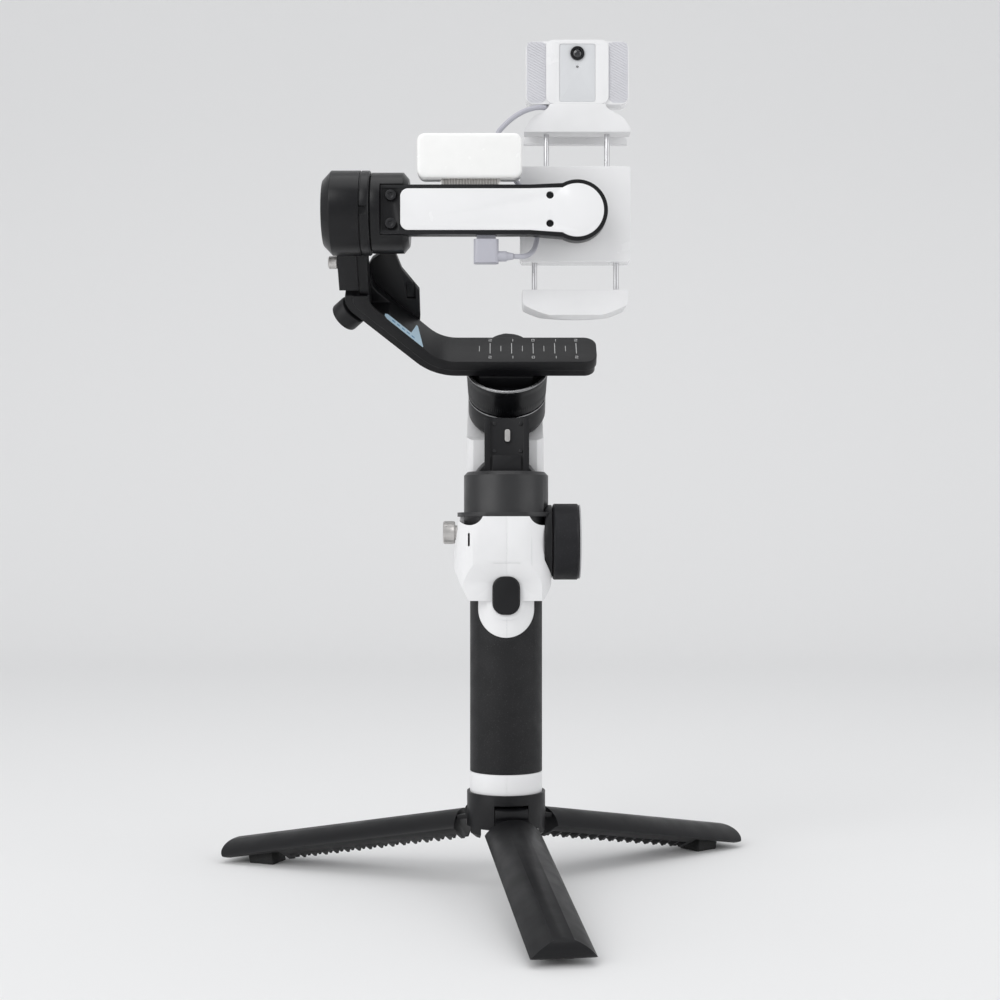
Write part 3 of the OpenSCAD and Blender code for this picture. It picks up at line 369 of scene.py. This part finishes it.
def finished(name, bm, material, body, edge=0.0, node=None, angle=30):
    """The bmesh becomes a piece: its sharp edges are rounded and the rest is shaded smooth."""
    mesh = bpy.data.meshes.new(name)
    bmesh.ops.recalc_face_normals(bm, faces=bm.faces)
    bm.to_mesh(mesh)
    bm.free()
    piece = bpy.data.objects.new(name, mesh)
    bpy.context.scene.collection.objects.link(piece)
    if edge:
        round_off = piece.modifiers.new("edges", "BEVEL")
        round_off.width = edge * MM
        round_off.segments = 3
        round_off.limit_method = "ANGLE"
        round_off.angle_limit = math.radians(angle)
        bpy.context.view_layer.update()
        baked = bpy.data.meshes.new_from_object(
            piece.evaluated_get(bpy.context.evaluated_depsgraph_get()))
        piece.modifiers.clear()
        piece.data = baked
    piece.data.shade_smooth()
    piece.data.set_sharp_from_angle(angle=math.radians(38))
    piece.data.materials.clear()
    piece.data.materials.append(MATERIALS[material])
    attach(piece, body)
    if node:
        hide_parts(node)
    return piece


def softened(node, material, edge):
    """A CAD node's visible copy, with rounded edges."""
    bm = bmesh.new()
    bm.from_mesh(frame["nodes"][node].data)
    bmesh.ops.remove_doubles(bm, verts=bm.verts, dist=2e-6)
    bmesh.ops.dissolve_limit(bm, angle_limit=math.radians(0.7), verts=bm.verts, edges=bm.edges)
    return finished(node + "_visible", bm, material, BODIES[node], edge, node)


def lathed(profile, count, ridge=0.0, matrix=UP):
    """A closed profile of (radius, height, knurl) turned about Z; knurl 1 ridges the ring, and
    2 shifts its ridges by half a pitch, so alternate rings make a diamond pattern."""
    bm = bmesh.new()
    rings = []
    for r, z, knurl in profile:
        if r == 0:
            rings.append([bm.verts.new((0, 0, z * MM))] * count)
            continue
        ring = []
        for k in range(count):
            low = knurl and (k + knurl) % 2
            a = 2 * math.pi * k / count
            rad = (r - (ridge if low else 0)) * MM
            ring.append(bm.verts.new((rad * math.cos(a), rad * math.sin(a), z * MM)))
        rings.append(ring)
    closed = rings if profile[0][0] == 0 else rings + rings[:1]
    for a, b in zip(closed, closed[1:]):
        for k in range(count):
            n = (k + 1) % count
            corners = []
            for v in (a[k], a[n], b[n], b[k]):
                if v not in corners:
                    corners.append(v)
            if len(corners) > 2:
                bm.faces.new(corners)
    bmesh.ops.transform(bm, matrix=matrix, verts=bm.verts)
    return bm


def slab(bm, outlines, z0, z1, matrix=UP):
    """Outlines in mm, the first outside and the others holes, thickened from z0 to z1."""
    new = []
    edges = []
    for outline in outlines:
        loop = [bm.verts.new((x * MM, y * MM, z0 * MM)) for x, y in outline]
        new += loop
        edges += [bm.edges.new((a, b)) for a, b in zip(loop, loop[1:] + loop[:1])]
    faces = [f for f in bmesh.ops.triangle_fill(bm, edges=edges, use_beauty=True)["geom"]
             if isinstance(f, bmesh.types.BMFace)]
    risen = bmesh.ops.extrude_face_region(bm, geom=faces)["geom"]
    top = [v for v in risen if isinstance(v, bmesh.types.BMVert)]
    bmesh.ops.translate(bm, vec=(0, 0, (z1 - z0) * MM), verts=top)
    bmesh.ops.transform(bm, matrix=matrix, verts=new + top)


def circle(x, y, r, count=32):
    return [(x + r * math.cos(2 * math.pi * k / count), y + r * math.sin(2 * math.pi * k / count))
            for k in range(count)]


def rectangle(x0, y0, x1, y1, r=0.0, steps=6):
    """Corners rounded to r, anticlockwise."""
    if r == 0:
        return [(x0, y0), (x1, y0), (x1, y1), (x0, y1)]
    out = []
    for cx, cy, start in ((x1 - r, y0 + r, -90), (x1 - r, y1 - r, 0),
                          (x0 + r, y1 - r, 90), (x0 + r, y0 + r, 180)):
        for k in range(steps + 1):
            a = math.radians(start + 90 * k / steps)
            out.append((cx + r * math.cos(a), cy + r * math.sin(a)))
    return out


def slabs(name, shapes, matrix, material, body, edge=0.0):
    """Several slabs as one piece; each shape is (outlines, z0, z1)."""
    bm = bmesh.new()
    for outlines, z0, z1 in shapes:
        slab(bm, outlines, z0, z1, matrix)
    return finished(name, bm, material, body, edge)


# ---------- knurled and turned pieces ----------

def knurled_rows(r, z0, z1, rows, diamond=True):
    """Profile points of a knurled band."""
    return [(r, z0 + (z1 - z0) * k / rows, 1 + (k % 2 if diamond else 0)) for k in range(rows + 1)]


def knurled_pieces():
    wheel = Matrix.Translation((WHEEL_PLACE[0] * MM, 0, WHEEL_PLACE[1] * MM)) @ ALONG_X
    finished("wheel_tyre", lathed(
        [(TYRE_BORE, 0, 0), (16.3, 0, 0), (17.1, 0.25, 0), (17.5, 0.8, 0)]
        + knurled_rows(17.5, 1.1, 10.9, 22)
        + [(17.5, 11.2, 0), (17.1, 11.75, 0), (16.3, 12, 0), (TYRE_BORE, 12, 0)],
        180, 0.22, wheel), "tyre", "focus_wheel", node="focus_wheel_grip")
    knob = Matrix.Translation((0, 0, SIDE_KNOB_Z * MM)) @ ALONG_X
    finished("side_knob_turned", lathed(
        [(0, -28.9, 0), (4.3, -28.9, 0), (4.75, -28.95, 0), (5.3, -28.5, 0), (5.3, -28.2, 0)]
        + knurled_rows(5.3, -27.9, -24.6, 3, False)
        + [(5.3, -24.2, 0), (5.3, -23.9, 0), (4.8, -23.5, 0), (3.4, -23.5, 0), (3.4, -22.5, 0),
           (1.6, -22.5, 0), (1.6, -14, 0), (0, -14, 0)],
        72, 0.12, knob), "silver", "side_knob", node="side_knob")
    latch = PAN @ Matrix.Translation((0, LATCH_PLACE[0] * MM, LATCH_PLACE[1] * MM)) @ ALONG_X
    finished("latch_turned", lathed(
        [(0, -78.3, 0), (2.2, -78.3, 0), (2.8, -77.8, 0)]
        + knurled_rows(2.8, -77.5, -74.9, 2, False)
        + [(2.8, -74.6, 0), (2.4, -74.1, 0), (1.2, -74.1, 0), (1.2, -70, 0), (0, -70, 0)],
        48, 0.1, latch), "silver", "tilt_latch", node="tilt_lock_latch")
    finished("pan_rotor_turned", lathed(
        [(0, -10.5, 0), (17.2, -10.5, 0), (17.5, -10.2, 0), (17.5, -5.4, 0), (17.8, -5.05, 0),
         (18.9, -5.0, 0), (19.25, -5.2, 0), (19.3, -5.6, 0)]
        + knurled_rows(19.25, -6.4, -7.0, 1, False)
        + [(18.9 - 0.45 * k / 6, -8 - 10.6 * k / 6, 1) for k in range(7)]
        + [(18.3, -19.2, 0), (18.2, -19.7, 0), (17.9, -19.8, 0), (16, -19.8, 0), (16, -22, 0),
           (14.9, -22, 0), (14.9, -12.5, 0), (2.5, -12.5, 0), (2.5, -32.7, 0), (0, -32.7, 0)],
        240, 0.16, MOTOR), "rotor", "pan_turn", node="pan_rotor")
    # thin pale rings laid over the rotor's and the stator's rims: painted highlights along their
    # edges
    finished("rotor_rim_highlight", lathed(
        [(17.9, -4.98, 0), (18.9, -4.96, 0), (19.26, -5.16, 0), (19.3, -5.5, 0), (19.1, -5.4, 0)],
        128, 0, MOTOR), "painted_rim_highlight", "pan_turn")
    finished("stator_rim_highlight", lathed(
        [(18.0, -20.5, 0), (18.28, -20.52, 0), (18.33, -20.75, 0), (18.33, -21.0, 0),
         (18.1, -21.0, 0)],
        128, 0, MOTOR), "painted_rim_highlight", "handle")


def mount_bar():
    """The fill light's silver base, ribbed along its length."""
    bm = bmesh.new()
    count = 20
    x0, x1, z0, z1 = -28.0, -2.6, 308.8, 311.4
    rib_top, rib_root, shoulder, rear = -57.6, -56.7, -56.4, -52.0
    front = []
    for k in range(2 * count + 1):
        x = x0 + 0.5 + (x1 - x0 - 1.0) * k / (2 * count)
        front.append((x, rib_top if k % 2 else rib_root))
    outline = [(x0, shoulder)] + front + [(x1, shoulder), (x1, rear), (x0, rear)]
    slab(bm, [outline], z0, z1)
    finished("mount_bar_ribbed", bm, "silver", "tilt_turn", 0.12,
             node="light_mount_bar", angle=60)


# ---------- marks and details ----------

# each stroke of a numeral runs between two corners of a unit square
SEGMENTS = {"a": (0, 1, 1, 1), "b": (1, 0.5, 1, 1), "c": (1, 0, 1, 0.5), "d": (0, 0, 1, 0),
            "e": (0, 0, 0, 0.5), "f": (0, 0.5, 0, 1), "g": (0, 0.5, 1, 0.5)}
DIGITS = ["abcdef", "bc", "abged", "abgcd", "fgbc"]


def digit(value, cx, cy, w, h):
    """A tiny numeral of straight strokes."""
    half = 0.15                         # half a stroke's width
    out = []
    for key in DIGITS[value]:
        ax, ay, bx, by = SEGMENTS[key]
        ax, bx = cx + (ax - 0.5) * w, cx + (bx - 0.5) * w
        ay, by = cy + (ay - 0.5) * h, cy + (by - 0.5) * h
        out.append(rectangle(min(ax, bx) - half, min(ay, by) - half,
                             max(ax, bx) + half, max(ay, by) + half))
    return out


def bar_marks():
    """The slide bar's scale: a long line each 10 mm, a short one between, and numerals."""
    shapes = []
    for k in range(5):
        x = -7.4 + 10 * k
        shapes.append(rectangle(x - 0.18, -1.6, x + 0.18, 6.6))
        shapes.append(rectangle(x - 5.14, 0.2, x - 4.86, 4.4))
        for n in (9.0, -4.5):
            shapes += digit(abs(k - 2), x, n, 1.1, 1.6)
    slabs("bar_marks", [([o], BAR_TOP, BAR_TOP + 0.03) for o in shapes], PAN, "print",
          "slide_bar")


def arrow_sticker():
    """A pale arrow on the sloping section's upper face, pointing towards the bar."""
    corner = 26                         # the slope meets the pan frame's floor at this X
    slope = (PAN @ Matrix.Translation((-corner * MM, 0, 0))
             @ Matrix.Rotation(math.radians(45), 4, "Y"))
    root = math.sqrt(2)
    flat = [(-54.6, -5.0), (-54.7, -6.5), (-53.6, -7.7), (-38.2, -7.7), (-37.9, -7.2),
            (-40.7, 5.2), (-41.3, 5.4), (-43.3, -3.7), (-53.5, -3.8)]
    outline = [((x + corner) * root, n) for x, n in flat]
    slabs("arrow_sticker", [([outline], 0.0, 0.05)], slope, "sticker", "slide_bar")
    lines = []
    for k in range(5):
        x = -51.5 + 2.1 * k
        lines.append(rectangle((x + corner) * root, -6.2, (x + 1.3 + corner) * root, -5.2))
    slabs("arrow_bars", [([o], 0.05, 0.07) for o in lines], slope, "sticker_ink", "slide_bar")


def tracker_details():
    """The tracking module's panel, slanting ribs, wings and lens; depth d stands at y = -d."""
    low, high, fall, pitch = 348.9, 375.0, 0.55, 1.2
    panel = rectangle(23.2, low, 38.6, 373.9, 0.6)
    slabs("tracker_panel", [([panel, circle(LENS_X, LENS_Z, 3.1), circle(LENS_X, 364.1, 0.6, 16)],
                             39.6, 39.8)], FACING, "pearl", "upper_jaw", 0.05)
    ribs = []
    for x0, x1 in ((9.2, 17.0), (44.8, 52.6)):
        for k in range(26):
            top = low + 0.6 + pitch * k                   # the rib's height at its left end
            start = x0 + max(0.0, (top - high) / fall)
            end = min(x1, x0 + (top - low - 0.5) / fall)
            if end - start > 0.8:
                a, b = top - fall * (start - x0), top - fall * (end - x0)
                ribs.append([(start, a - 0.3), (end, b - 0.3), (end, b + 0.3), (start, a + 0.3)])
    slabs("tracker_ribs", [([o], 39.0, 39.3) for o in ribs], FACING, "rib_white", "upper_jaw")
    wings = [rectangle(8.8, low - 0.4, 17.3, high + 0.2, 2.8),
             rectangle(44.5, low - 0.4, 53.0, high + 0.2, 2.8)]
    slabs("tracker_wings", [([o], 38.9, 39.06) for o in wings], FACING, "rib_white", "upper_jaw")
    rings = bmesh.new()
    for r0, r1, z0, z1 in ((2.2, 3.0, 40.35, 40.55), (1.3, 1.6, 39.9, 40.05)):
        slab(rings, [circle(LENS_X, LENS_Z, r1, 48), circle(LENS_X, LENS_Z, r0, 48)], z0, z1,
             FACING)
    finished("lens_rings", rings, "black", "upper_jaw", 0.06)
    glass = lathed([(0, 0.75, 0), (0.9, 0.62, 0), (1.6, 0.3, 0), (2.15, 0, 0), (2.15, -0.2, 0),
                    (0, -0.2, 0)], 40, 0,
                   Matrix.Translation((LENS_X * MM, -39.9 * MM, LENS_Z * MM)) @ FACING)
    finished("lens_dome", glass, "lens", "upper_jaw")


def rear_details():
    """The control panel's display glass, lamps and printed marks, facing backwards."""
    back = (Matrix.Translation((-1 * MM, 0, 0)) @ Matrix.Rotation(math.radians(-90), 4, "X")
            @ Matrix.Diagonal((1, -1, 1, 1)))
    slabs("display_glass", [([rectangle(-8.8, 155.2, 8.8, 162.8, 1.3)], 22.4, 22.75)], back,
          "display", "handle", 0.12)
    slabs("status_lamps", [([circle(-4.5 + 3 * k, 139.6, 0.55, 20)], 22.98, 23.08)
                           for k in range(4)], back, "lamp", "handle")
    marks = [[circle(0, 148, 7.0, 48), circle(0, 148, 6.75, 48)]]
    for k in range(4):
        a = math.radians(90 * k)
        c, d = 6.0 * math.cos(a), 6.0 * math.sin(a)
        marks.append([circle(c, 148 + d, 0.28, 12)])
    marks.append([circle(-5.5, 126.6, 0.6, 16)])
    marks.append([rectangle(4.8, 126.1, 6.2, 127.1), rectangle(5.1, 126.4, 5.9, 126.8)[::-1]])
    slabs("panel_marks", [(o, 22.98, 23.02) for o in marks], back, "print", "handle")


# the short lead from the plug to the tracker, point by point
LEAD = [
    (3, -54, 279), (6, -53.1, 279.1), (9, -51, 280), (11.4, -48.2, 282.4), (12.8, -46.3, 286.2),
    (13.3, -45.5, 291), (12.8, -45.3, 296.5), (11, -45.2, 302), (8.4, -45.1, 307),
    (5, -45, 312), (1.4, -44.9, 316.5), (-2, -44.8, 321.5), (-4.2, -44.6, 326.5),
    (-4.6, -44.4, 331), (-3.4, -44.2, 334.5), (-1.8, -44, 336.5), (0.4, -43.7, 338.8),
    (2.6, -43.4, 340.7), (5.1, -43, 342.5), (8.4, -42.4, 344.3), (11.6, -41.6, 345.5),
    (14.4, -40.4, 346.2), (16.2, -39, 346.5), (16.9, -37.7, 346.9), (17, -37.2, 347.4),
    (17, -37.2, 347.9),
]


def smooth_path(points, steps):
    """A round curve through the points, in metres."""
    pts = [Vector(p) * MM for p in points]
    pts = [pts[0]] + pts + [pts[-1]]
    out = []
    for a, b, c, d in zip(pts, pts[1:], pts[2:], pts[3:]):
        for k in range(steps):
            t = k / steps
            out.append(0.5 * (2 * b + (c - a) * t + (2 * a - 5 * b + 4 * c - d) * t * t
                              + (3 * b - a - 3 * c + d) * t ** 3))
    return out + [pts[-1]]


def tube(path, r, sides):
    """A round tube along a path, its rings carried along without twisting."""
    bm = bmesh.new()
    rings = []
    side = Vector((0, 1, 0))
    for k, p in enumerate(path):
        ahead = (path[min(k + 1, len(path) - 1)] - path[max(k - 1, 0)]).normalized()
        side = (side - ahead * side.dot(ahead)).normalized()
        other = ahead.cross(side)
        rings.append([bm.verts.new(p + r * (math.cos(a) * side + math.sin(a) * other))
                      for a in (2 * math.pi * j / sides for j in range(sides))])
    for a, b in zip(rings, rings[1:]):
        for j in range(sides):
            n = (j + 1) % sides
            bm.faces.new((a[j], a[n], b[n], b[j]))
    bm.faces.new(rings[0])
    bm.faces.new(rings[-1])
    return bm


def short_lead():
    """The moulded lead, a tube along its own path."""
    path = smooth_path(LEAD, 4)
    piece = finished("plug_lead", tube(path, LEAD_DIAMETER / 2 * MM, 16), "lead", "tilt_turn",
                     node="usb_cable")


def clamp_rods():
    """Bright sleeves over the jaws' guide rods."""
    for name, body, xs, z0, z1 in (("upper_rods", "upper_jaw", (17.5, 44), 295, 335.6),
                                   ("lower_rods", "lower_jaw", (12.3, 48), 267.1, 289.5)):
        bm = bmesh.new()
        for x in xs:
            profile = [(0, z0, 0), (ROD_RADIUS, z0, 0), (ROD_RADIUS, z1, 0), (0, z1, 0)]
            part = lathed(profile, 32, 0, Matrix.Translation((x * MM, ROD_Y * MM, 0)))
            copy = bpy.data.meshes.new("rod")
            part.to_mesh(copy)
            part.free()
            bm.from_mesh(copy)
        finished(name, bm, "steel", body, 0.15, angle=60)


def lock_pin():
    """The neck's bright pin in its slot."""
    bm = bmesh.new()
    slab(bm, [rectangle(-0.6, 202.7, 1.8, 208.3, 1.0)], 7.3, 7.85, FACING)
    finished("lock_pin", bm, "silver", "handle", 0.35)


set_camera()
short_lead()
set_stage()
for node, (material, edge) in SOFTENED.items():
    softened(node, material, edge)
for node, material in INSIDE.items():
    frame["nodes"][node].data.materials.clear()
    frame["nodes"][node].data.materials.append(MATERIALS[material])

knurled_pieces()
mount_bar()
bar_marks()
arrow_sticker()
tracker_details()
rear_details()
clamp_rods()
lock_pin()
